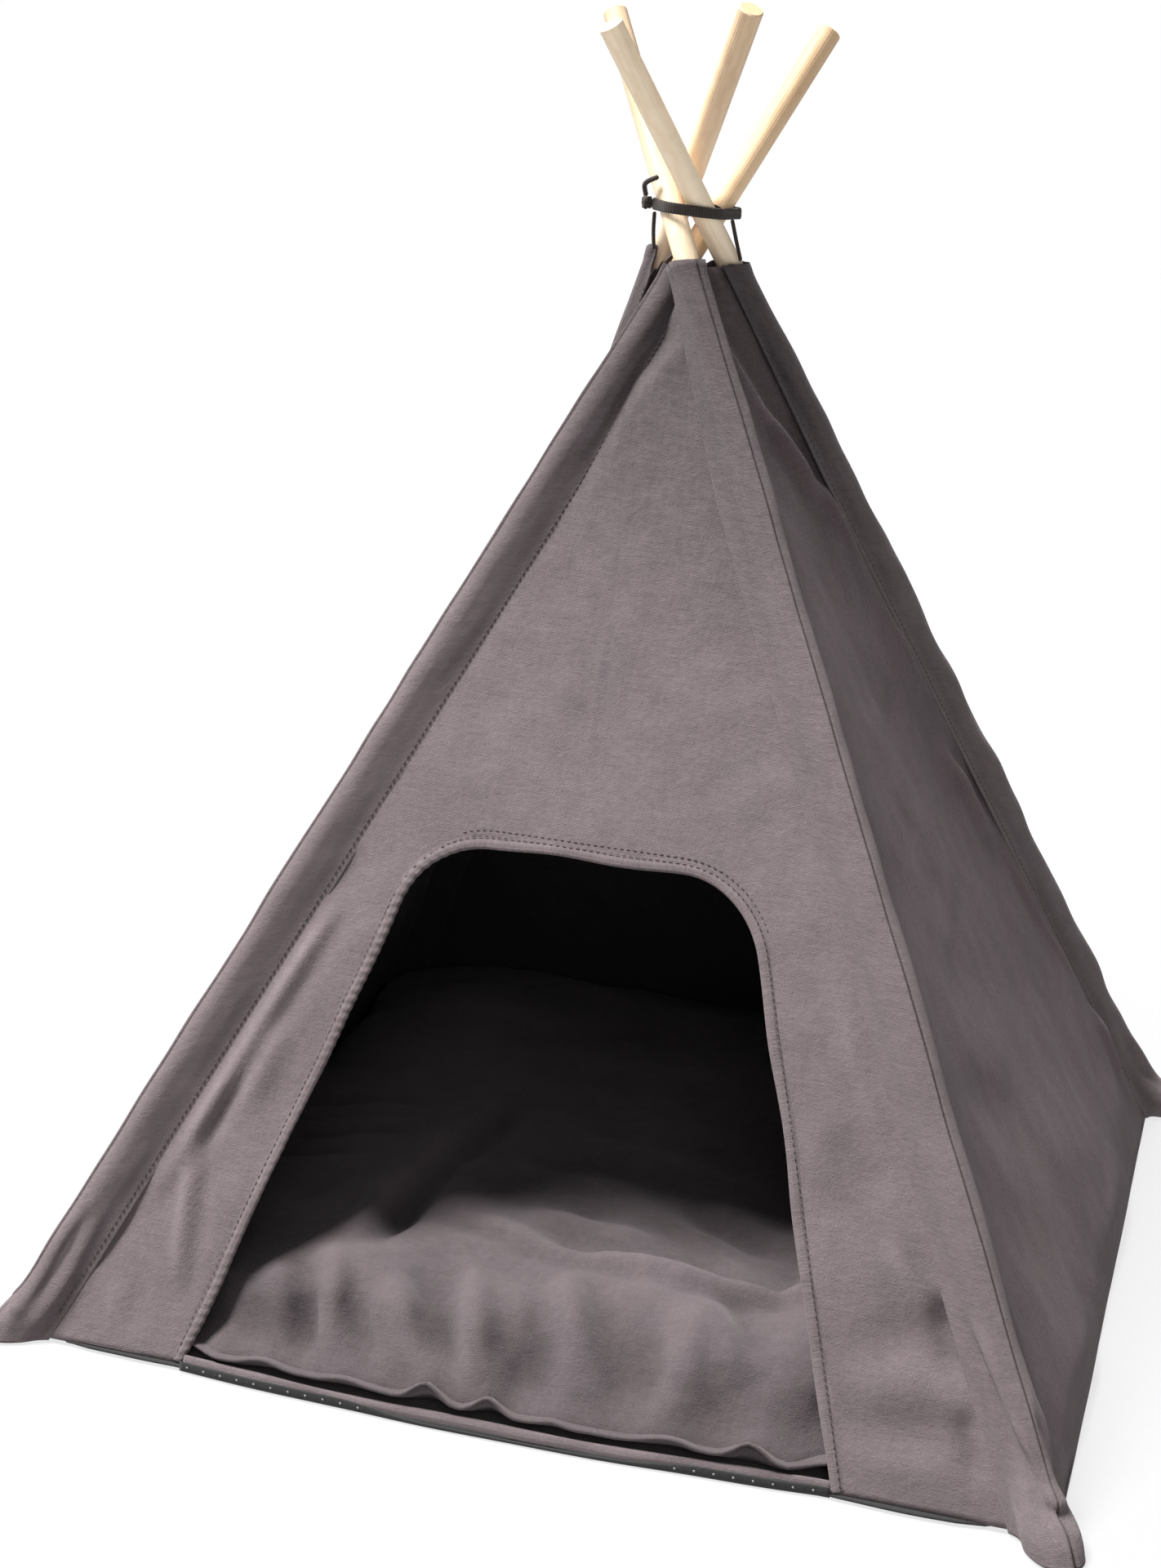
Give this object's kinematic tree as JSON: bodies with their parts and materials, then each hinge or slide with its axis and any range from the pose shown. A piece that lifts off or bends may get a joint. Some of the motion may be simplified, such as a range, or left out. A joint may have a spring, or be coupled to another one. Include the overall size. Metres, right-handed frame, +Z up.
{
  "type": "pet teepee tent",
  "caption": "Pet teepee: four crossed wooden poles lashed at the top, sewn canvas cover with an arched doorway, anti-slip floor and a loose cushion",
  "frame": {"origin": "on the floor, under the middle of the square base", "axes": "+Z up, the doorway faces -Y, +X to the right as seen from the front"},
  "size_m": [0.5172, 0.5172, 0.6293],
  "materials": {
    "canvas": "matte",
    "cushion_canvas": "matte",
    "wood": "satin",
    "braid": "matte",
    "antislip": "matte",
    "filling": "matte"
  },
  "bodies": {
    "base": {"floor_antislip": "antislip", "floor_lining": "canvas"},
    "lashing": {"lashing_band": "braid", "lashing_knot": "braid", "lashing_tail": "braid", "lashing_strand": "braid", "tie_left": "braid", "tie_right": "braid"},
    "front_frame": {"pole_front_left": "wood", "pole_front_right": "wood", "sleeve_front_left": "canvas", "sleeve_front_right": "canvas", "wall_front": "canvas", "door_hem": "canvas", "door_sill": "canvas"},
    "back_frame": {"pole_back_left": "wood", "pole_back_right": "wood", "sleeve_back_left": "canvas", "sleeve_back_right": "canvas", "wall_back": "canvas"},
    "side_left": {"wall_left": "canvas"},
    "side_right": {"wall_right": "canvas"},
    "cushion": {"cushion_top": "cushion_canvas", "cushion_bottom": "cushion_canvas", "cushion_flange": "cushion_canvas", "cushion_filling": "filling"}
  },
  "joints": [
    {"name": "frame_fold", "type": "hinge", "parent": "lashing", "child": "front_frame", "pos_m": [0, 0, 0.533], "axis": [1, 0, 0], "range_deg": [0, 20], "deforming": ["sleeve_front_left", "sleeve_front_right", "sleeve_back_left", "sleeve_back_right", "wall_front", "wall_back", "wall_left", "wall_right", "floor_antislip", "floor_lining", "door_hem", "door_sill", "cushion_top", "cushion_bottom", "cushion_flange", "cushion_filling", "lashing_band", "lashing_tail", "tie_left", "tie_right"]},
    {"name": "back_fold", "type": "hinge", "parent": "lashing", "child": "back_frame", "pos_m": [0, 0, 0.533], "axis": [1, 0, 0], "range_deg": [-20, 0]},
    {"name": "lashing_rise", "type": "slide", "parent": "base", "child": "lashing", "axis": [0, 0, 1], "range_m": [0, 0.0534]},
    {"name": "side_left_lean", "type": "hinge", "parent": "lashing", "child": "side_left", "pos_m": [0, 0, 0.533], "axis": [0, 1, 0], "range_deg": [-2.1, 0]},
    {"name": "side_right_lean", "type": "hinge", "parent": "lashing", "child": "side_right", "pos_m": [0, 0, 0.533], "axis": [0, 1, 0], "range_deg": [0, 2.1]},
    {"name": "cushion_slide", "type": "slide", "parent": "base", "child": "cushion", "axis": [0, -1, 0], "range_m": [0, 0.5]}
  ],
  "couplings": [
    {"joint": "back_fold", "follows": "frame_fold", "ratio": -1},
    {"joint": "lashing_rise", "follows": "frame_fold", "m_per_rad": 0.15287},
    {"joint": "side_left_lean", "follows": "frame_fold", "ratio": -0.10186},
    {"joint": "side_right_lean", "follows": "frame_fold", "ratio": 0.10186}
  ]
}
